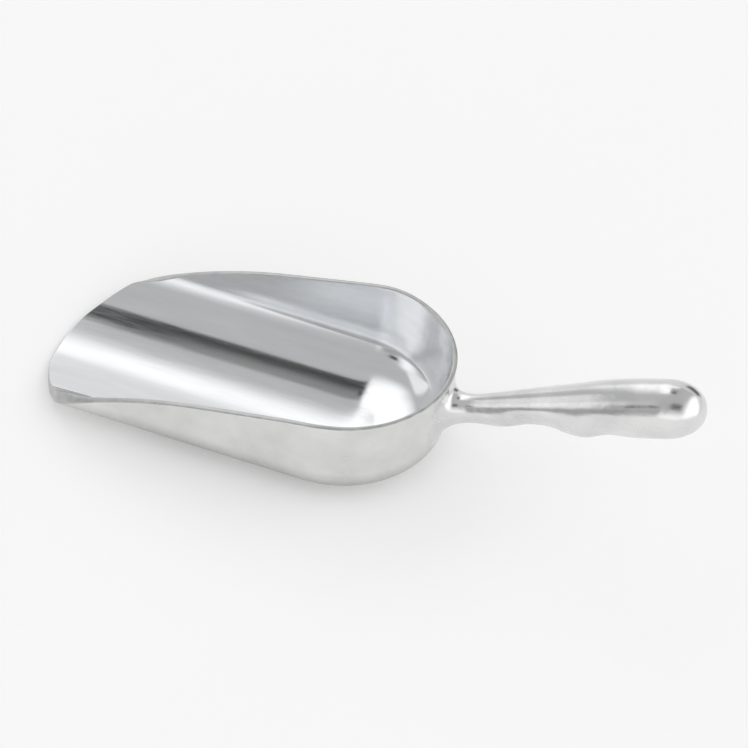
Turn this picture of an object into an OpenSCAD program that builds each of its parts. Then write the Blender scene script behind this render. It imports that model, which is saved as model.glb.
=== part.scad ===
// Ice scoop: a cast aluminium trough with a half-round back and a club-shaped grip.
// X runs along the trough from the mouth to the grip, Y across it, Z up.
// The origin is the centre of the half-round back, on the plane the scoop rests on.
// All sizes are in millimetres.

/* [Trough] */
// Half the trough's width, where the wall leaves the bottom corner
half_w = 48.9; // [35:0.1:70]
// Distance from the back's centre to the tip of the mouth
mouth_len = 140.2; // [90:0.1:220]
// Wall thickness at the rim
rim_t = 2.2; // [1.5:0.1:4]
// Thickness of the floor
floor_t = 3.2; // [1.5:0.1:5]
// Half the width of the level middle of the bottom
level_half_w = 15; // [4:0.5:25]
// Radius of the shallow arc on each side of the level middle
belly_r = 64.5; // [40:0.1:200]
// Depth dressed off the underside, which widens the face that the scoop rests on
rest_cut = 0.6; // [0:0.05:1]
// Radius of the bottom corner
corner_r = 11.2; // [6:0.1:30]
// Outward lean of the wall's outside, in degrees
draft = 4.4; // [0:0.1:10]

/* [Mouth and rim] */
// Angle of the mouth's edge next to the tip, in degrees
mouth_angle = 27; // [15:0.5:45]
// Distance from the tip to the bend at the end of the mouth
mouth_run = 60.1; // [30:0.1:100]
// Angle of the side rim, in degrees
rim_angle = 11.9; // [0:0.1:20]
// Distance from the tip to the bend where the rim turns level
rim_run = 143.7; // [100:0.1:200]
// Radius of the bend at the end of the mouth
mouth_bend_r = 251; // [50:1:400]
// Radius of the bend where the rim turns level
rim_bend_r = 113; // [20:1:300]

/* [Grip] */
// Upward angle of the grip, in degrees
grip_angle = 20.7; // [0:0.1:40]
// Height of the grip's centreline at the back wall, above the undressed bottom
grip_z = 33.4; // [20:0.1:45]
// Distance along the centreline from the back wall to the grip's end
grip_len = 122.5; // [90:0.1:150]
// Radius of the neck
neck_r = 6.8; // [4:0.1:12]
// Distance along the centreline to the end of the plain neck
neck_len = 15; // [8:0.5:30]
// Radius at the shoulder, where the club stops widening quickly
shoulder_r = 12.4; // [8:0.1:20]
// Distance along the centreline to the shoulder
shoulder_at = 74; // [50:1:100]
// Radius of the domed end
end_r = 13.1; // [9:0.1:20]

/* [Finger grooves] */
// Distances along the centreline to the middle of each groove
groove_at = [39, 78];
// Grip radius left at the bottom of each groove
groove_r = [7.3, 11.5];
// Half the length of each groove
groove_half = [12, 9];
// Distance that the grooves' ring is raised above the centreline, so that it only bites underneath
groove_lift = 6; // [2:0.5:12]

/* [Weld fillet] */
// Radius of the bead where it meets the back wall
bead_r = 14.5; // [10:0.1:20]
// Radius of the bead's outer end, inside the neck
bead_end_r = 5; // [3:0.1:8]
// Distance that the bead stands out from the back wall
bead_out = 8; // [3:0.1:12]
// Downward turn of the bead's centreline from the grip's, in degrees
bead_turn = 14; // [0:1:30]

/* [Hidden] */
$fn = 96;
silver = [0.80, 0.81, 0.82];
satin = [0.74, 0.75, 0.76];
bead_grey = [0.70, 0.71, 0.72];
// heights below are measured from the section's lowest point, before the underside is dressed
corner_y = half_w - corner_r * cos(draft);
belly_run = corner_y - level_half_w;
belly_turn = asin(belly_run / (belly_r - corner_r));
corner_z = belly_r - (belly_r - corner_r) * cos(belly_turn);
// heights of the rim's two bends
mouth_rise = mouth_run * tan(mouth_angle);
rim_h = mouth_rise + (rim_run - mouth_run) * tan(rim_angle);
// half the outer width at a height above the corner
function half_w_at(z) = half_w + (z - corner_z + corner_r * sin(draft)) * tan(draft);
rim_half_w = half_w_at(rim_h);
grip_x = half_w_at(grip_z);
// lean of the wall's inside, which thins the wall towards the rim
hollow_lean = draft + atan((floor_t - rim_t) / (rim_h - corner_z));
// blanks are taller, longer and wider than the trough, for trimming
over = 20;

// Cross-section of the trough: its outside when inset is 0, its hollow when inset is the floor's
// thickness. x is across and y is up. It runs past the rim, where the side outline trims it.
module trough_section(inset, lean) {
    r = corner_r - inset;
    top = rim_h + over;
    side_y = corner_y + r * cos(lean);
    side_z = corner_z - r * sin(lean);
    top_y = side_y + (top - side_z) * tan(lean);
    wedge = belly_r + over;
    for (side = [0, 1])
        mirror([side, 0]) {
            // belly arc, from the level middle to the corner
            translate([level_half_w, belly_r])
                intersection() {
                    circle(r = belly_r - inset, $fn = 360);
                    polygon([[0, 0], [0, -wedge], [wedge * tan(belly_turn), -wedge]]);
                }
            translate([corner_y, corner_z]) circle(r = r);
        }
    // level middle
    translate([-level_half_w, inset]) square([2 * level_half_w, belly_r - inset]);
    // leaning walls
    polygon([[-side_y, side_z], [side_y, side_z], [top_y, top], [-top_y, top]]);
}

// Straight trough with a half-round back, turned from the same section.
module trough_body(inset, lean, front) {
    translate([-front, 0, 0])
        rotate([90, 0, 90])
            linear_extrude(height = front)
                trough_section(inset, lean);
    rotate([0, 0, -90])
        rotate_extrude(angle = 180)
            intersection() {
                trough_section(inset, lean);
                square([half_w + over, rim_h + over]);
            }
}

// Removes a convex corner at v, leaving an arc of radius r. The edges run at angles a and b.
module bend_waste(v, a, b, r) {
    t = r * tan((a - b) / 2);
    start = v - t * [cos(a), sin(a)];
    finish = v + t * [cos(b), sin(b)];
    centre = start + r * [sin(a), -cos(a)];
    difference() {
        polygon([start, v + [0, over], finish, centre]);
        translate(centre) circle(r = r, $fn = 720);
    }
}

// Side view of what is kept: the mouth's edge, the side rim and the level back rim.
module side_outline() {
    mouth_bend = [mouth_run, mouth_rise];
    rim_bend = [rim_run, rim_h];
    back_x = mouth_len + rim_half_w + over;
    translate([-mouth_len, 0])
        difference() {
            polygon([
                [rest_cut / tan(mouth_angle), rest_cut], mouth_bend, rim_bend,
                [back_x, rim_h], [back_x, rest_cut]
            ]);
            bend_waste(mouth_bend, mouth_angle, rim_angle, mouth_bend_r);
            bend_waste(rim_bend, rim_angle, 0, rim_bend_r);
        }
}

module trough_outside() {
    trough_body(0, draft, mouth_len);
}

module bowl() {
    blank_w = 2 * (rim_half_w + over);
    color(silver)
        translate([0, 0, -rest_cut])
            intersection() {
                difference() {
                    trough_outside();
                    trough_body(floor_t, hollow_lean, mouth_len + over);
                }
                rotate([90, 0, 0])
                    linear_extrude(height = blank_w, center = true)
                        side_outline();
            }
}

// Places a shape drawn along +Z on the grip's centreline, turned down by some degrees.
module on_grip(turn = 0) {
    translate([grip_x, 0, grip_z])
        rotate([0, 90 - grip_angle + turn, 0])
            children();
}

module grip_profile() {
    root = -2 * neck_r;
    polygon([
        [0, root], [neck_r, root], [neck_r, neck_len], [shoulder_r, shoulder_at],
        [end_r, grip_len - end_r], [0, grip_len - end_r]
    ]);
    intersection() {
        translate([0, grip_len - end_r]) circle(r = end_r);
        square([end_r, grip_len]);
    }
}

// Ring that bites a shallow groove in the grip's underside.
module groove_ring(at, left_r, half_len) {
    bite = neck_r + (shoulder_r - neck_r) * (at - neck_len) / (shoulder_at - neck_len) - left_r;
    round_r = (half_len * half_len + bite * bite) / (2 * bite);
    translate([-groove_lift, 0, at])
        rotate_extrude()
            translate([left_r + groove_lift + round_r, 0])
                circle(r = round_r, $fn = 360);
}

module grip_solid() {
    on_grip()
        difference() {
            rotate_extrude() grip_profile();
            for (i = [0 : len(groove_at) - 1])
                groove_ring(groove_at[i], groove_r[i], groove_half[i]);
        }
}

module handle() {
    color(satin)
        translate([0, 0, -rest_cut])
            difference() {
                grip_solid();
                trough_outside();
            }
}

// Bead drawn with a hollow, concave flank.
module bead_profile() {
    flank_r = (bead_out * bead_out + (bead_r - bead_end_r) * (bead_r - bead_end_r))
        / (2 * (bead_r - bead_end_r));
    root = -bead_r / 2;
    difference() {
        translate([0, root]) square([bead_r, bead_out - root]);
        translate([bead_end_r + flank_r, bead_out]) circle(r = flank_r);
    }
}

module weld_fillet() {
    color(bead_grey)
        translate([0, 0, -rest_cut])
            difference() {
                on_grip(bead_turn) rotate_extrude() bead_profile();
                trough_outside();
                grip_solid();
            }
}

bowl();
handle();
weld_fillet();
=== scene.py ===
"""Looks of a cast aluminium ice scoop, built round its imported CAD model. Metres, in the CAD frame."""
import math

import bpy
import bmesh
import numpy as np
from mathutils import Matrix, Vector


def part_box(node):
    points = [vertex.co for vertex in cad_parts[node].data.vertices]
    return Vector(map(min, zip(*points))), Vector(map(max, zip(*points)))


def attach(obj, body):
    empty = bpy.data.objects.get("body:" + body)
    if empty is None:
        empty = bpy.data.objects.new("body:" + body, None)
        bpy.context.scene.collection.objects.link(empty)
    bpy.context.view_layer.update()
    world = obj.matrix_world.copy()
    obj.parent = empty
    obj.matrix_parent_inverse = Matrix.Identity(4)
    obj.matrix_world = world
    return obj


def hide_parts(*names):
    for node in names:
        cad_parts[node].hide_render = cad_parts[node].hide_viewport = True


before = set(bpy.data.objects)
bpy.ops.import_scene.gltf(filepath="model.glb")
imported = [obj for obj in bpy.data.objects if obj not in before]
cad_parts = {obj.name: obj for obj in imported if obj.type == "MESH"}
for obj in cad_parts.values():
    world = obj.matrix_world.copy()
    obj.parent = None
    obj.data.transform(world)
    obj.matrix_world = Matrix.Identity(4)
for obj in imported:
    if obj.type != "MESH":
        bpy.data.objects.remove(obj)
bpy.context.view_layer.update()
MM = 0.001

# ---------------------------------------------------------------- sizes, in millimetres
# Heights are measured from the trough's undressed bottom, as in the CAD, then lowered by REST_CUT.
bowl_high = np.array(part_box("bowl")[1]) / MM

REST_CUT = 0.6                      # depth dressed off the underside
RIM_H = bowl_high[2] + REST_CUT     # height of the level rim
RIM_HALF_W = bowl_high[1]           # half the trough's width at the level rim
MOUTH_LEN = 140.2                   # from the back's centre to the tip
MOUTH_ANGLE = math.radians(27.0)    # slope of the mouth's edge
RIM_ANGLE = math.radians(11.9)      # slope of the side rim
MOUTH_RUN = 60.1                    # from the tip to the first bend
RIM_RUN = 143.7                     # from the tip to the second bend
MOUTH_BEND_R = 251.0
RIM_BEND_R = 113.0

DRAFT = math.radians(4.4)           # outward lean of the wall's outside
HOLLOW_LEAN = math.radians(6.2)     # outward lean of the wall's inside
FLOOR_Z = 2.6                       # height of the inside's lowest line
RIM_T = 2.2                         # wall thickness at the rim
INNER_HALF_W = RIM_HALF_W - RIM_T   # half the hollow's width at the level rim
RISE_START = -6.0                   # where the hollow's floor starts to rise
RISE_RUN = 22.0                     # length over which it rises
RISE_SLOPE = 0.060                  # steepest slope of that rise
RIM_ROUND = 0.45                    # how far the rounded rim stands past its trimmed walls
LIP_SHARE = 0.45                    # share of the wall trimmed with its outside at the mouth's corners
LIP_SPREAD = 32.0                   # distance from the middle at which that share is reached
LIP_FADE = 3                        # how fast that share fades as the wall gets steeper

GRIP_ANGLE = math.radians(20.7)     # upward slope of the grip's axis
GRIP_Z = 33.4                       # height at which the axis leaves the back wall's outside
GRIP_X = 50.28                      # x of that place
GRIP_LEN = 122.5                    # from there to the end of the dome

# ---------------------------------------------------------------- section of the trough
STEP = 0.05                         # spacing of the points on a section curve


def section_curve(start_z, spans, soften):
    """Half a cross-section, from the middle outwards: arc length, y, z and slope.

    spans are (length, radius), with radius None where it is straight. soften is the length over which
    each change of radius is eased.
    """
    reach = sum(length for length, radius in spans)
    s = np.arange(0, reach, STEP)
    bend = np.zeros(len(s))
    at = 0
    for length, radius in spans:
        if radius:
            bend[(s >= at) & (s < at + length)] = 1 / radius
        at += length
    width = int(soften / STEP)
    padded = np.concatenate([bend[width:0:-1], bend, np.full(width, bend[-1])])
    eased = np.convolve(padded, np.hanning(2 * width + 1) / width, "valid")
    slope = np.cumsum(eased) * STEP
    y = np.cumsum(np.cos(slope)) * STEP
    z = start_z + np.cumsum(np.sin(slope)) * STEP
    y[0] = 0
    return s, y, z, slope


def turn_span(radius, turn):
    """An arc's (length, radius) from its turn in radians."""
    return (radius * turn, radius)


LEVEL_HALF_W = 15.0                 # half the level middle of the outside
BELLY_R = 64.5                      # outside's shallow arc, on each side of the level middle
BELLY_TURN = math.radians(25.24)
CORNER_R = 11.2                     # outside's bottom corner
CROWN_HALF_W = 16.0                 # half the middle arc of the inside
CROWN_R = 170.0
IN_BELLY_R = 62.0                   # inside's shallow arc
IN_BELLY_TURN = math.radians(18.6)
IN_CORNER_R = 18.0                  # inside's bottom corner
WALL_RUN = 60.0                     # straight wall, longer than needed because the rim trims it
OUT_EASE = 3.0
IN_EASE = 5.0

OUT_SPANS = [
    (LEVEL_HALF_W, None),
    turn_span(BELLY_R, BELLY_TURN),
    turn_span(CORNER_R, math.pi / 2 - DRAFT - BELLY_TURN),
    (WALL_RUN, None),
]
IN_SPANS = [
    (CROWN_HALF_W, CROWN_R),
    turn_span(IN_BELLY_R, IN_BELLY_TURN),
    turn_span(IN_CORNER_R, math.pi / 2 - HOLLOW_LEAN - CROWN_HALF_W / CROWN_R - IN_BELLY_TURN),
    (WALL_RUN, None),
]
s_out, y_out, z_out, slope_out = section_curve(0.0, OUT_SPANS, OUT_EASE)
y_out *= RIM_HALF_W / np.interp(RIM_H, z_out, y_out)
s_in, y_in, z_in, _ = section_curve(FLOOR_Z, IN_SPANS, IN_EASE)
y_in *= INNER_HALF_W / np.interp(RIM_H, z_in, y_in)


def rim_height(x):
    """Height of the side outline at x, with its two bends rounded."""
    along = np.asarray(x, float) + MOUTH_LEN
    rise = MOUTH_RUN * math.tan(MOUTH_ANGLE)
    lines = [
        along * math.tan(MOUTH_ANGLE),
        rise + (along - MOUTH_RUN) * math.tan(RIM_ANGLE),
        np.full_like(along, RIM_H),
    ]
    height = np.minimum(np.minimum(lines[0], lines[1]), lines[2])
    bends = [
        (MOUTH_RUN, rise, MOUTH_ANGLE, RIM_ANGLE, MOUTH_BEND_R),
        (RIM_RUN, RIM_H, RIM_ANGLE, 0.0, RIM_BEND_R),
    ]
    for at, top, a, b, radius in bends:
        reach = radius * math.tan((a - b) / 2)
        start = at - reach * math.cos(a)
        stop = at + reach * math.cos(b)
        cx = start + radius * math.sin(a)
        cz = top - reach * math.sin(a) - radius * math.cos(a)
        arc = cz + np.sqrt(np.maximum(radius**2 - (along - cx) ** 2, 0))
        height = np.where((along > start) & (along < stop), arc, height)
    return height


X_END = 60                          # beyond the back wall
X_STEP = 0.1
x_table = np.arange(-MOUTH_LEN, X_END, X_STEP)
rim_table = rim_height(x_table)
rim_slope_table = np.gradient(rim_table, x_table)


def rim_slope(x):
    """Slope of the side outline at x."""
    return np.interp(x, x_table, rim_slope_table)


SEARCH_SPAN = 400                   # section points searched on each side of the first guess
EASE_SPAN = 30                      # section points over which the wall's thickness is evened out


def wall_thickness():
    """For each outer section point, how deep its inward normal meets the inner section."""
    guess = np.interp(z_out + FLOOR_Z, z_in, s_in) / STEP
    deep = np.zeros(len(s_out))
    for i in range(len(s_out)):
        normal_y = -math.sin(slope_out[i])
        normal_z = math.cos(slope_out[i])
        near = slice(max(0, int(guess[i]) - SEARCH_SPAN), int(guess[i]) + SEARCH_SPAN)
        # signed side of the normal's line, which changes where the inner curve crosses it
        side = (y_in[near] - y_out[i]) * normal_z - (z_in[near] - z_out[i]) * normal_y
        k = int(np.argmin(np.abs(side)))
        deep[i] = math.hypot(y_in[near][k] - y_out[i], z_in[near][k] - z_out[i])
    kernel = np.hanning(2 * EASE_SPAN + 1) / EASE_SPAN
    padded = np.concatenate([deep[EASE_SPAN:0:-1], deep, deep[-2:-EASE_SPAN - 2:-1]])
    return np.convolve(padded, kernel, "valid")


wall_table = wall_thickness()


def smooth(u):
    """Eased step from 0 to 1."""
    u = np.clip(u, 0, 1)
    return u * u * (3 - 2 * u)


# ---------------------------------------------------------------- bowl
FLOOR_ROWS = 150
TROUGH_COLUMNS = 90
COLUMN_CROWDING = 1.5               # above 1, the columns lie closer together towards the mouth
BACK_COLUMNS = 120
CAP_POINTS = 9                      # points across the rounded rim
CAP_POWER = 0.8                     # below 1, the rim's rounding is squarer than an ellipse
EDGE_STEPS = 8                      # steps that find the rim round the back
FLAT_EASE = 0.15                    # height over which the flat underside blends into the section
FLOOR_REACH = 20                    # height up the wall by which the floor's rise has faded out
MERGE = 0.0005                      # points closer than this are one point


def row_positions(s_last):
    """Arc lengths of the lengthwise rows, closer together where the section turns."""
    s = s_out[s_out <= s_last]
    turned = np.interp(s, s_out, slope_out)
    pace = 0.5 * s / s[-1] + 0.5 * turned / turned[-1]
    return np.interp(np.linspace(0, 1, FLOOR_ROWS), pace, s)


def bowl_frame(path_x, theta, s):
    """Outer point and inward normal, in the trough at path_x or in the back at the angle theta."""
    y = np.interp(s, s_out, y_out)
    z = np.interp(s, s_out, z_out)
    slope = np.interp(s, s_out, slope_out)
    point = np.stack([path_x + y * np.cos(theta), y * np.sin(theta), z], -1)
    inward = np.stack([
        -np.sin(slope) * np.cos(theta), -np.sin(slope) * np.sin(theta), np.cos(slope)
    ], -1)
    return point, inward


def edge_pull(point, inward):
    """Height left below the rim, the rate it changes along the surface, and the way out of the edge."""
    spare = rim_height(point[..., 0]) - point[..., 2]
    gradient = np.stack([
        rim_slope(point[..., 0]), np.zeros(point.shape[:-1]), -np.ones(point.shape[:-1])
    ], -1)
    along = gradient - np.sum(gradient * inward, -1, keepdims=True) * inward
    rate = np.linalg.norm(along, axis=-1)
    return spare, rate, -along / np.maximum(rate, 1e-9)[..., None]


def trough_edge(s):
    """x where each lengthwise row meets the mouth or the side rim.

    At the tip it is the outside that meets it. At the mouth's corners a share of the wall counts too.
    """
    slope = np.interp(s, s_out, slope_out)
    spreading = LIP_SHARE * smooth(np.interp(s, s_out, y_out) / LIP_SPREAD)
    raised = spreading * np.interp(s, s_out, wall_table) * np.cos(slope) ** LIP_FADE
    z = np.interp(s, s_out, z_out) + raised
    edge = np.zeros(len(s))
    for j in range(len(s)):
        reach = RIM_ROUND * np.sqrt(rim_slope_table**2 + math.sin(slope[j]) ** 2)
        edge[j] = np.interp(z[j], rim_table - reach, x_table)
    return np.minimum(edge, 0.0)


def back_edge(theta):
    """Arc length at which the back's section meets the rim, found in a few steps."""
    s = np.full(len(theta), RIM_HALF_W + RIM_H)
    for _ in range(EDGE_STEPS):
        point, inward = bowl_frame(0.0, theta, s)
        spare, rate, _ = edge_pull(point, inward)
        s = s + (spare - RIM_ROUND * rate) / np.cos(DRAFT)
    return s


def floor_rise(point):
    """Lift of the hollow's floor, which starts to rise just ahead of the half-round back."""
    u = np.clip((point[..., 0] - RISE_START) / RISE_RUN, 0, 1)
    lift = RISE_SLOPE * RISE_RUN * (u / 2 - np.sin(2 * math.pi * u) / (4 * math.pi))
    return lift * (1 - smooth(point[..., 2] / FLOOR_REACH))


def dressed(point):
    """The outside, lowered to the rest plane with its flat underside."""
    z = point[..., 2] - REST_CUT
    flat = point.copy()
    flat[..., 2] = 0.5 * (z + np.sqrt(z * z + FLAT_EASE**2))
    return flat


def cap_points(outer, inner, out):
    """Rounded edge between an outer and an inner edge point, ends left out."""
    turns = np.linspace(0, math.pi, CAP_POINTS)[1:-1]
    middle = (outer + inner) / 2
    half = (inner - outer) / 2
    points = []
    for turn in turns:
        across = -math.copysign(abs(math.cos(turn)) ** CAP_POWER, math.cos(turn))
        rise = math.sin(turn) ** CAP_POWER
        points.append(middle + half * across + out * RIM_ROUND * rise)
    return points


class MeshParts:
    """Grids of points collected into one mesh."""

    def __init__(self):
        self.points = []
        self.faces = []
        self.slots = []

    def grid(self, points, slot):
        """Adds a grid of points, with faces between them in one material slot."""
        start = len(self.points)
        rows, columns = points.shape[:2]
        self.points.extend(points.reshape(-1, 3))
        for j in range(rows - 1):
            for i in range(columns - 1):
                a = start + j * columns + i
                self.faces.append((a, a + 1, a + columns + 1, a + columns))
                self.slots.append(slot)

    def build(self, name, materials):
        """Closed, smooth-shaded piece with its doubled points merged."""
        mesh = bpy.data.meshes.new(name)
        mesh.from_pydata([tuple(p * MM) for p in self.points], [], self.faces)
        for material in materials:
            mesh.materials.append(material)
        mesh.polygons.foreach_set("material_index", self.slots)
        bm = bmesh.new()
        bm.from_mesh(mesh)
        bmesh.ops.remove_doubles(bm, verts=bm.verts, dist=MERGE * MM)
        bmesh.ops.dissolve_degenerate(bm, edges=bm.edges, dist=MERGE * MM)
        bmesh.ops.recalc_face_normals(bm, faces=bm.faces)
        for face in bm.faces:
            face.smooth = True
        bm.to_mesh(mesh)
        bm.free()
        piece = bpy.data.objects.new(name, mesh)
        bpy.context.scene.collection.objects.link(piece)
        return piece


POLISHED, AS_CAST, RIM_FACE = 0, 1, 2


def make_bowl(materials):
    """Two mirrored sides of the trough and the half-round back, each with its outside, inside and rim."""
    parts = MeshParts()
    s_last = back_edge(np.array([math.pi / 2]))[0]
    rows = row_positions(s_last)
    steps = np.linspace(0, 1, TROUGH_COLUMNS) ** COLUMN_CROWDING
    edge = trough_edge(rows)
    edge[-1] = 0.0
    for side in (-1, 1):
        theta = np.full((len(rows), TROUGH_COLUMNS), side * math.pi / 2)
        x = edge[:, None] * (1 - steps[None, :])
        s = np.repeat(rows[:, None], TROUGH_COLUMNS, 1)
        add_wall(parts, *shell(x, theta, s), cap_axis="columns")
    angles = np.linspace(-math.pi / 2, math.pi / 2, BACK_COLUMNS)
    theta = np.repeat(angles[None, :], len(rows), 0)
    s = rows[:, None] * (back_edge(angles) / s_last)[None, :]
    add_wall(parts, *shell(np.zeros_like(theta), theta, s), cap_axis="rows")
    return parts.build("bowl_shell", materials)


def shell(x, theta, s):
    """Outer grid, inner grid and the way out of the edge."""
    point, inward = bowl_frame(x, theta, s)
    inner = point + inward * np.interp(s, s_out, wall_table)[..., None]
    inner[..., 2] += floor_rise(inner) - REST_CUT
    return dressed(point), inner, edge_pull(point, inward)[2]


def add_wall(parts, outer, inner, out, cap_axis):
    """Adds the outside, the inside and the rounded rim, along the first column or the last row."""
    parts.grid(outer, AS_CAST)
    parts.grid(inner, POLISHED)
    if cap_axis == "columns":
        line = (outer[:, 0], inner[:, 0], out[:, 0])
    else:
        line = (outer[-1], inner[-1], out[-1])
    cap = [line[0]] + cap_points(*line) + [line[1]]
    parts.grid(np.stack(cap, 0), RIM_FACE)


# ---------------------------------------------------------------- grip
# Stations along the grip: distance from the back wall, and distance from the axis to the surface.
GRIP_TOP = [
    (-6, 6.2), (17, 6.2), (26, 7.0), (43.6, 8.9), (60.5, 10.7), (77.6, 12.5), (90, 13.05), (106, 13.0)
]
GRIP_UNDER = [
    (-6, 7.1), (14, 7.1), (29, 8.5), (40.7, 7.3), (52.2, 8.75), (59, 11.2), (66.4, 12.7), (77.6, 11.5),
    (89, 12.5), (106, 13.0)
]
UNDER_START = math.radians(55)      # turn from straight up at which the underside starts to take over
UNDER_SPREAD = math.radians(70)
DOME_START = 104.0
DOME_POWER = 2.2                    # above 2, the dome is blunter than a half ellipse
GRIP_SEAT = 1.2                     # how far the neck's axis starts inside the back wall
GRIP_TURNS = 97                     # points round the grip and the foot
STEM_ROWS = 150
DOME_ROWS = 40
BASE_ROWS = 6
axis_x = np.array([math.cos(GRIP_ANGLE), 0, math.sin(GRIP_ANGLE)])
axis_up = np.array([-math.sin(GRIP_ANGLE), 0, math.cos(GRIP_ANGLE)])
axis_side = np.array([0.0, 1.0, 0.0])
grip_root = np.array([GRIP_X, 0, GRIP_Z - REST_CUT])


def eased_profile(stations, t):
    """Smooth curve through the stations."""
    at = np.array([p[0] for p in stations], float)
    r = np.array([p[1] for p in stations], float)
    tangent = np.gradient(r, at)
    k = np.clip(np.searchsorted(at, t) - 1, 0, len(at) - 2)
    h = at[k + 1] - at[k]
    u = np.clip((t - at[k]) / h, 0, 1)
    return (
        (2 * u**3 - 3 * u**2 + 1) * r[k] + (u**3 - 2 * u**2 + u) * h * tangent[k]
        + (3 * u**2 - 2 * u**3) * r[k + 1] + (u**3 - u**2) * h * tangent[k + 1]
    )


def grip_radius(t, turn):
    """Grip radius at t along the axis; turn is measured from straight up."""
    t = np.asarray(t, float)
    upper = eased_profile(GRIP_TOP, t)
    under = eased_profile(GRIP_UNDER, t)
    share = smooth((np.abs(turn) - UNDER_START) / UNDER_SPREAD)
    body = upper + (under - upper) * share
    over = np.clip((t - DOME_START) / (GRIP_LEN - DOME_START), 0, 1)
    return body * np.power(np.maximum(1 - over**DOME_POWER, 0), 1 / DOME_POWER)


def grip_point(t, turn, radius):
    """Point at t along the grip's axis, radius away from it."""
    ring = np.cos(turn)[..., None] * axis_up + np.sin(turn)[..., None] * axis_side
    return grip_root + t[..., None] * axis_x + radius[..., None] * ring


def make_handle(materials):
    """Club-shaped grip, round above and grooved for the fingers underneath."""
    parts = MeshParts()
    stem = np.linspace(-GRIP_SEAT, DOME_START, STEM_ROWS)
    dome = DOME_START + (GRIP_LEN - DOME_START) * np.sin(np.linspace(0, math.pi / 2, DOME_ROWS))
    along = np.concatenate([stem, dome[1:]])
    turns = np.linspace(-math.pi, math.pi, GRIP_TURNS)
    t, turn = np.meshgrid(along, turns, indexing="ij")
    radius = grip_radius(t, turn)
    parts.grid(grip_point(t, turn, radius), 0)
    base = np.linspace(0, 1, BASE_ROWS)[:, None] * np.ones(len(turns))[None, :]
    base_t = np.full_like(base, along[0])
    base_turn = np.repeat(turns[None, :], BASE_ROWS, 0)
    parts.grid(grip_point(base_t, base_turn, base * radius[0][None, :]), 0)
    return parts.build("grip", materials)


# ---------------------------------------------------------------- flared foot
# The foot is drawn on the unrolled outside of the back: turn round the back, height above the
# undressed bottom, and distance out from the wall.
FOOT_RUN = 16.0                     # length of neck that the foot covers
FOOT_SIDE = 11.0                    # reach along the wall, to each side
FOOT_BELOW = 13.0                   # reach down the wall
FOOT_TOP = RIM_H - 0.8              # highest point, just under the rim
FOOT_POINTS = 31
FOOT_SINK = 0.01                    # how far its outer end lies under the neck's surface
FOOT_WALL = 1.5                     # depth inside the neck at which the foot is closed
FOOT_SEAT = 0.9                     # depth inside the back wall at which the foot is closed
HEADING_STEP = 0.05                 # step that measures the neck's direction
NECK_STEPS = 40                     # steps that find where the neck meets the wall
NECK_PACE = 0.8                     # share of the remaining distance covered by each step


def unroll(point):
    """Places on the unrolled wall of points in space."""
    height = point[..., 2] + REST_CUT
    radius = np.hypot(point[..., 0], point[..., 1])
    return np.stack([
        np.arctan2(point[..., 1], point[..., 0]), height, radius - np.interp(height, z_out, y_out)
    ], -1)


def roll_up(flat):
    """Points in space of places on the unrolled wall."""
    radius = flat[..., 2] + np.interp(flat[..., 1], z_out, y_out)
    return np.stack([
        radius * np.cos(flat[..., 0]), radius * np.sin(flat[..., 0]), flat[..., 1] - REST_CUT
    ], -1)


def neck_start(turns):
    """Distance along the grip at which the foot begins, FOOT_RUN out from the wall."""
    t = np.full(len(turns), FOOT_RUN)
    for _ in range(NECK_STEPS):
        crossing = grip_point(t - FOOT_RUN, turns, grip_radius(t, turns))
        t = t - NECK_PACE * unroll(crossing)[:, 2]
    return t


def make_foot(materials):
    """Flare that leaves the neck along its side and meets the wall along the wall."""
    parts = MeshParts()
    turns = np.linspace(-math.pi, math.pi, GRIP_TURNS)
    t = neck_start(turns)
    start = grip_point(t, turns, grip_radius(t, turns) - FOOT_SINK)
    t_before = t - HEADING_STEP
    before = grip_point(t_before, turns, grip_radius(t_before, turns) - FOOT_SINK)
    flat_start = unroll(start)
    heading = (flat_start - unroll(before)) / HEADING_STEP
    crease = flat_start - heading * (flat_start[:, 2] / heading[:, 2])[:, None]
    up = np.cos(turns)
    reach_up = np.maximum(FOOT_TOP - crease[:, 1], 0)
    foot = crease.copy()
    foot[:, 1] += np.where(up > 0, reach_up * up, FOOT_BELOW * up)
    foot[:, 1] = np.minimum(foot[:, 1], FOOT_TOP)
    foot[:, 0] += FOOT_SIDE * np.sin(turns) / RIM_HALF_W
    rows = []
    for u in smooth(np.linspace(0, 1, FOOT_POINTS)):
        flat = (1 - u) ** 2 * flat_start + 2 * u * (1 - u) * crease + u * u * foot
        rows.append(roll_up(flat))
    buried = foot.copy()
    buried[:, 2] = -FOOT_SEAT
    rows.append(roll_up(buried))
    inside = grip_radius(t, turns) - FOOT_WALL
    rows.append(grip_point(t - FOOT_RUN - FOOT_SEAT, turns, inside))
    rows.append(grip_point(t, turns, inside))
    rows.append(start)
    parts.grid(np.stack(rows, 0), 0)
    return parts.build("foot", materials)


# ---------------------------------------------------------------- materials
def node_material(name):
    """New material that holds only a surface shader and its output."""
    material = bpy.data.materials.new(name)
    material.use_nodes = True
    nodes, links = material.node_tree.nodes, material.node_tree.links
    nodes.clear()
    shader = nodes.new("ShaderNodeBsdfPrincipled")
    output = nodes.new("ShaderNodeOutputMaterial")
    links.new(shader.outputs[0], output.inputs[0])
    return material, nodes, links, shader


def math_node(nodes, links, operation, *values):
    """Result of one operation on numbers or on other nodes' outputs."""
    node = nodes.new("ShaderNodeMath")
    node.operation = operation
    for slot, value in zip(node.inputs, values):
        if isinstance(value, (int, float)):
            slot.default_value = value
        else:
            links.new(value, slot)
    return node.outputs[0]


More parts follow.
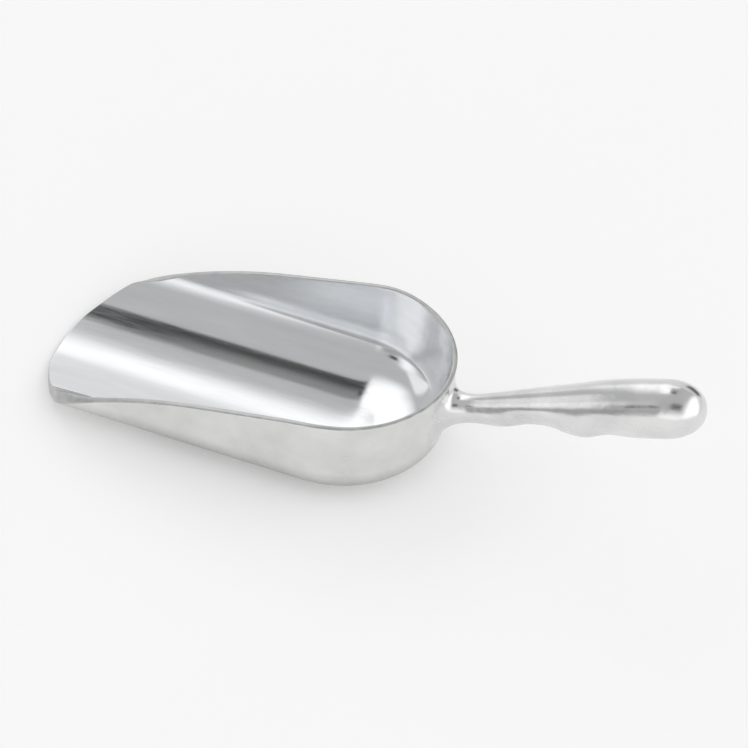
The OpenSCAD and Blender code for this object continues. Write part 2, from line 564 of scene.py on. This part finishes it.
def noise(nodes, links, where, scale, detail, stretch=(1, 1, 1)):
    """Noise in object space; scale is features per metre, stretch squeezes it along each axis."""
    mapping = nodes.new("ShaderNodeMapping")
    mapping.inputs["Scale"].default_value = stretch
    links.new(where.outputs["Object"], mapping.inputs["Vector"])
    node = nodes.new("ShaderNodeTexNoise")
    node.inputs["Scale"].default_value = scale
    node.inputs["Detail"].default_value = detail
    links.new(mapping.outputs[0], node.inputs["Vector"])
    return node.outputs["Fac"]


def spread(nodes, links, value, low, high, start=0.3, stop=0.7):
    """Maps the range from start to stop onto low to high, and stays level beyond it."""
    node = nodes.new("ShaderNodeMapRange")
    node.inputs["From Min"].default_value = start
    node.inputs["From Max"].default_value = stop
    node.inputs["To Min"].default_value = low
    node.inputs["To Max"].default_value = high
    links.new(value, node.inputs["Value"])
    return node.outputs[0]


def bump(nodes, links, height, depth, below=None):
    """Surface relief of the given depth in metres, on top of the relief below."""
    node = nodes.new("ShaderNodeBump")
    node.inputs["Strength"].default_value = 1.0
    node.inputs["Distance"].default_value = depth
    links.new(height, node.inputs["Height"])
    if below is not None:
        links.new(below, node.inputs["Normal"])
    return node.outputs[0]


def grey(nodes, links, value, dark, light):
    """Colour ramp between two colours."""
    node = nodes.new("ShaderNodeMix")
    node.data_type = "RGBA"
    node.inputs["A"].default_value = (*dark, 1)
    node.inputs["B"].default_value = (*light, 1)
    links.new(value, node.inputs["Factor"])
    return node.outputs["Result"]


def parts_of(nodes, links, vector):
    """X, Y and Z of a vector."""
    split = nodes.new("ShaderNodeSeparateXYZ")
    links.new(vector, split.inputs[0])
    return split.outputs


def polished_metal():
    """Buffed inside: lengthwise polishing streaks, duller and dragged upwards on the steep back wall."""
    material, nodes, links, shader = node_material("polished_aluminium")
    shader.inputs["Metallic"].default_value = 1.0
    where = nodes.new("ShaderNodeTexCoord")
    facing_up = parts_of(nodes, links, where.outputs["Normal"])["Z"]
    streaks = noise(nodes, links, where, 60, 5, (1, 16, 16))
    shine = spread(nodes, links, streaks, 0.07, 0.13)
    steep = spread(nodes, links, facing_up, 0.11, 0.0, 0.05, 0.85)
    links.new(math_node(nodes, links, "ADD", shine, steep), shader.inputs["Roughness"])
    tone = spread(nodes, links, noise(nodes, links, where, 25, 6, (1, 6, 6)), 0, 1)
    colour = grey(nodes, links, tone, (0.752, 0.765, 0.780), (0.818, 0.825, 0.835))
    links.new(colour, shader.inputs["Base Color"])
    waves = bump(nodes, links, noise(nodes, links, where, 22, 2, (1, 4, 4)), 0.00003)
    level = spread(nodes, links, facing_up, 0.0, 1.0, 0.35, 0.85)
    fine = bump(nodes, links, math_node(nodes, links, "MULTIPLY", streaks, level), 0.000004, waves)
    back = spread(nodes, links, parts_of(nodes, links, where.outputs["Object"])["X"], 0.0, 1.0, -0.010, 0.015)
    upright = spread(nodes, links, facing_up, 1.0, 0.0, 0.15, 0.6)
    drag = noise(nodes, links, where, 75, 2, (1, 1, 0.12))
    drag = math_node(nodes, links, "MULTIPLY", drag, back)
    drag = math_node(nodes, links, "MULTIPLY", drag, upright)
    links.new(bump(nodes, links, drag, 0.00025, fine), shader.inputs["Normal"])
    return material


def cast_metal():
    """Outside as it left the mould, lightly brushed: fine grain and soft mottling, with painted shade that
    darkens it low down behind the mouth.
    """
    material, nodes, links, shader = node_material("as_cast_aluminium")
    shader.inputs["Metallic"].default_value = 1.0
    where = nodes.new("ShaderNodeTexCoord")
    mottle = noise(nodes, links, where, 70, 5)
    links.new(spread(nodes, links, mottle, 0.27, 0.40), shader.inputs["Roughness"])
    tone = spread(nodes, links, mottle, 0, 1)
    colour = grey(nodes, links, tone, (0.67, 0.675, 0.66), (0.77, 0.775, 0.76))
    place = parts_of(nodes, links, where.outputs["Object"])
    # Painted shade: the colour darkens towards the bottom, behind the mouth, standing in for the floor's
    # contact shadow.
    low = spread(nodes, links, place["Z"], 0.60, 0.0, 0.0075, 0.018)
    behind_mouth = spread(nodes, links, place["X"], 0.3, 1.0, -0.12, -0.06)
    painted_shade = nodes.new("ShaderNodeMix")
    painted_shade.data_type = "RGBA"
    links.new(math_node(nodes, links, "MULTIPLY", low, behind_mouth), painted_shade.inputs["Factor"])
    links.new(colour, painted_shade.inputs["A"])
    painted_shade.inputs["B"].default_value = (0.26, 0.26, 0.255, 1)
    links.new(painted_shade.outputs["Result"], shader.inputs["Base Color"])
    lumps = bump(nodes, links, noise(nodes, links, where, 260, 3), 0.00006)
    grain = noise(nodes, links, where, 1500, 3)
    links.new(bump(nodes, links, grain, 0.00003, lumps), shader.inputs["Normal"])
    return material


def buffed_metal():
    """Grip and foot: buffed by hand, with faint scratches and soft dents, duller underneath."""
    material, nodes, links, shader = node_material("buffed_aluminium")
    shader.inputs["Metallic"].default_value = 1.0
    where = nodes.new("ShaderNodeTexCoord")
    scratches = noise(nodes, links, where, 90, 4, (1, 12, 12))
    shine = spread(nodes, links, scratches, 0.15, 0.24)
    facing_up = parts_of(nodes, links, where.outputs["Normal"])["Z"]
    under = spread(nodes, links, facing_up, 0.14, 0.0, -0.2, 0.25)
    links.new(math_node(nodes, links, "ADD", shine, under), shader.inputs["Roughness"])
    tone = spread(nodes, links, noise(nodes, links, where, 60, 4), 0, 1)
    colour = grey(nodes, links, tone, (0.66, 0.665, 0.665), (0.78, 0.78, 0.775))
    links.new(colour, shader.inputs["Base Color"])
    dents = bump(nodes, links, noise(nodes, links, where, 110, 2), 0.00014)
    knocks = bump(nodes, links, noise(nodes, links, where, 420, 2), 0.00003, dents)
    links.new(bump(nodes, links, scratches, 0.00001, knocks), shader.inputs["Normal"])
    return material


def rim_metal():
    """Rim dull from wear, its colour darker than the rest as painted shade of the rim's shadowed face."""
    material, nodes, links, shader = node_material("rim_aluminium_wear_and_painted_shade")
    shader.inputs["Metallic"].default_value = 1.0
    where = nodes.new("ShaderNodeTexCoord")
    wear = noise(nodes, links, where, 220, 4)
    links.new(spread(nodes, links, wear, 0.30, 0.45), shader.inputs["Roughness"])
    tone = spread(nodes, links, wear, 0, 1)
    # Painted shade: both colours sit well below the rest of the metal to stand in for the rim's shadow; the
    # noise between them is wear.
    colour = grey(nodes, links, tone, (0.45, 0.46, 0.46), (0.61, 0.61, 0.60))
    links.new(colour, shader.inputs["Base Color"])
    links.new(bump(nodes, links, wear, 0.00008), shader.inputs["Normal"])
    return material


polished, as_cast, buffed, rim_wear_and_painted_shade = polished_metal(), cast_metal(), buffed_metal(), rim_metal()

bowl = make_bowl([polished, as_cast, rim_wear_and_painted_shade])
grip = make_handle([buffed])
foot = make_foot([buffed])
for piece, node in ((bowl, "bowl"), (grip, "handle"), (foot, "weld_fillet")):
    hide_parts(node)
    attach(piece, "root")


# ---------------------------------------------------------------- stage
FLOOR_HALF = 3.0        # half the floor's side, in metres


def make_floor():
    """Matt white paper, slightly lit from within so that it stays pale round the scoop."""
    half = FLOOR_HALF
    corners = [(-half, -half, 0), (half, -half, 0), (half, half, 0), (-half, half, 0)]
    mesh = bpy.data.meshes.new("floor")
    mesh.from_pydata(corners, [], [(0, 1, 2, 3)])
    floor = bpy.data.objects.new("floor", mesh)
    bpy.context.scene.collection.objects.link(floor)
    material, nodes, links, shader = node_material("floor_paper")
    shader.inputs["Base Color"].default_value = (0.93, 0.93, 0.93, 1)
    shader.inputs["Roughness"].default_value = 0.9
    shader.inputs["Specular IOR Level"].default_value = 0.0
    shader.inputs["Emission Color"].default_value = (1, 1, 1, 1)
    shader.inputs["Emission Strength"].default_value = 0.20
    mesh.materials.append(material)


# The studio is a pale room with soft panels and cards. Each is placed by the x of its direction and by
# its angle across the trough, in degrees from overhead towards the camera's side. Each fades at its
# edges. The walls of the trough throw light back and forth, so a card can be left out of, or kept for,
# the reflections of reflections. Later rows cover earlier ones.
ROOM = 0.56
ANY, DIRECT, ECHO = 0, 1, 2    # seen in every reflection, only in the first, only in later ones
PANELS = [
    # x from, fade, x to, fade, angle from, fade, angle to, fade, brightness, seen in
    (-2.0, 0.1, 2.0, 0.1, -200, 8, -51, 3, 0.86, DIRECT),               # far side of the room, low down
    (-2.0, 0.1, 2.0, 0.1, -200, 8, -47, 4, 0.50, ECHO),                 # the same, thrown back
    (-2.0, 0.1, 2.0, 0.1, 67, 17, 200, 8, 1.18, DIRECT),                # camera's side, low down
    (-0.272, 0.01, -0.15, 0.03, 45, 5, 74, 6, 0.56, DIRECT),            # its dull part
    (-2.0, 0.1, 2.0, 0.1, 78, 6, 200, 8, 1.16, ECHO),                   # the same, thrown back
    (-2.0, 0.1, -0.37, 0.05, 60, 8, 104, 4, 0.42, DIRECT),              # shade past the mouth
    (-0.58, 0.08, -0.15, 0.06, -51, 3, -42, 4, 1.28, DIRECT),           # long far panel
    (-0.60, 0.08, 0.3, 0.08, -45, 5, 28, 8, 1.08, ECHO),                # light caught between the walls
    (-0.42, 0.05, -0.275, 0.015, -54, 4, -28, 4, 1.90, ECHO),           # its brightest part
    (-0.348, 0.004, -0.17, 0.03, -32.5, 1.5, -13, 0.6, 0.29, DIRECT),   # long dark card, its grey edge
    (-0.352, 0.006, -0.17, 0.03, -23, 5, -13, 0.6, 0.07, DIRECT),       # its core
    (-0.350, 0.004, -0.302, 0.012, -29, 3, -14, 0.6, 0.07, DIRECT),     # its wider end
    (-0.61, 0.14, -0.37, 0.015, -62, 8, -11, 9, 1.40, ANY),             # soft panel over the back
    (-0.61, 0.14, -0.353, 0.006, -62, 8, -27, 4, 1.40, DIRECT),         # its crisp edge
    (-0.90, 0.09, -0.68, 0.09, 32, 8, 70, 7, 1.15, DIRECT),             # near panel past the mouth
    (-0.64, 0.02, -0.52, 0.02, 48, 3, 58, 3, 0.03, DIRECT),             # thin dark card beside it
    (-0.15, 0.04, 0.33, 0.05, 30, 9, 50, 9, 0.12, DIRECT),              # its other part, over the grip
    (-2.0, 0.1, -0.76, 0.03, -16, 5, 36, 8, 0.98, ANY),                 # pale end of the room, high up
    (-2.0, 0.1, -0.74, 0.05, -100, 12, -30, 8, 0.60, ANY),              # grey end of the room, low down
    (-0.80, 0.05, -0.44, 0.06, -62, 8, 84, 8, 1.22, ECHO),              # mouth's end, thrown back
    (-2.0, 0.1, -0.88, 0.04, -62, 8, 84, 8, 0.72, ECHO),                # beyond it
    (0.50, 0.15, 2.0, 0.1, -50, 12, 80, 12, 1.5, ANY),                  # panel behind the grip
    (0.0, 0.05, 0.5, 0.05, -88, 5, -62, 5, 0.16, DIRECT),               # dark card behind the grip
]


def eased_step(nodes, links, value, at, softness, rising=True):
    """Mask that rises, or falls, softly round one value."""
    node = nodes.new("ShaderNodeMapRange")
    node.interpolation_type = "SMOOTHSTEP"
    node.inputs["From Min"].default_value = at - softness
    node.inputs["From Max"].default_value = at + softness
    node.inputs["To Min"].default_value = 0 if rising else 1
    node.inputs["To Max"].default_value = 1 if rising else 0
    links.new(value, node.inputs["Value"])
    return node.outputs[0]


def make_studio():
    """World in which each panel covers the brightness below it by its own mask."""
    world = bpy.data.worlds.new("studio")
    bpy.context.scene.world = world
    world.use_nodes = True
    nodes, links = world.node_tree.nodes, world.node_tree.links
    nodes.clear()
    where = nodes.new("ShaderNodeTexCoord")
    direction = parts_of(nodes, links, where.outputs["Generated"])
    near = math_node(nodes, links, "MULTIPLY", direction["Y"], -1.0)
    radians = math_node(nodes, links, "ARCTAN2", near, direction["Z"])
    degrees = math_node(nodes, links, "MULTIPLY", radians, 180 / math.pi)
    level = ROOM
    path = nodes.new("ShaderNodeLightPath")
    echo = math_node(nodes, links, "GREATER_THAN", path.outputs["Glossy Depth"], 1.5)
    direct = math_node(nodes, links, "SUBTRACT", 1.0, echo)
    for x0, soft_x0, x1, soft_x1, a0, soft_a0, a1, soft_a1, bright, seen in PANELS:
        mask = eased_step(nodes, links, direction["X"], x0, soft_x0)
        for value, at, soft, rising in (
            (direction["X"], x1, soft_x1, False),
            (degrees, a0, soft_a0, True),
            (degrees, a1, soft_a1, False),
        ):
            edge = eased_step(nodes, links, value, at, soft, rising)
            mask = math_node(nodes, links, "MULTIPLY", mask, edge)
        if seen == DIRECT:
            mask = math_node(nodes, links, "MULTIPLY", mask, direct)
        elif seen == ECHO:
            mask = math_node(nodes, links, "MULTIPLY", mask, echo)
        change = math_node(nodes, links, "SUBTRACT", bright, level)
        level = math_node(nodes, links, "MULTIPLY_ADD", change, mask, level)
    background = nodes.new("ShaderNodeBackground")
    links.new(level, background.inputs["Strength"])
    background.inputs["Color"].default_value = (1, 1, 1, 1)
    output = nodes.new("ShaderNodeOutputWorld")
    links.new(background.outputs[0], output.inputs[0])


CAMERA_AZIMUTH = math.radians(19.149)
CAMERA_ELEVATION = math.radians(43.709)
CAMERA_ROLL = math.radians(3.58)
CAMERA_DISTANCE = 1.275     # metres from the origin
CAMERA_LENS = 133.46        # millimetres, on a sensor 36 mm wide
CAMERA_SHIFT = (0.0474, 0.0732)


def make_camera():
    """Camera that sees the scoop as the photo does: from the near side, past the grip's end, rolled."""
    data = bpy.data.cameras.new("camera")
    data.sensor_width = 36
    data.lens = CAMERA_LENS
    data.shift_x, data.shift_y = CAMERA_SHIFT
    azimuth, elevation = CAMERA_AZIMUTH, CAMERA_ELEVATION
    right = Vector((math.cos(azimuth), math.sin(azimuth), 0))
    back = Vector((
        math.sin(azimuth) * math.cos(elevation), -math.cos(azimuth) * math.cos(elevation), math.sin(elevation)
    ))
    up = back.cross(right)
    turned_right = right * math.cos(CAMERA_ROLL) + up * math.sin(CAMERA_ROLL)
    turned_up = up * math.cos(CAMERA_ROLL) - right * math.sin(CAMERA_ROLL)
    camera = bpy.data.objects.new("camera", data)
    camera.location = Vector((0, 0, -REST_CUT * MM)) + back * CAMERA_DISTANCE
    axes = Matrix((turned_right, turned_up, back)).transposed()
    camera.rotation_mode = "QUATERNION"
    camera.rotation_quaternion = axes.to_quaternion()
    bpy.context.scene.collection.objects.link(camera)
    bpy.context.scene.camera = camera


make_floor()
make_studio()
make_camera()
view = bpy.context.scene.view_settings
view.view_transform = "Standard"
view.look = "None"
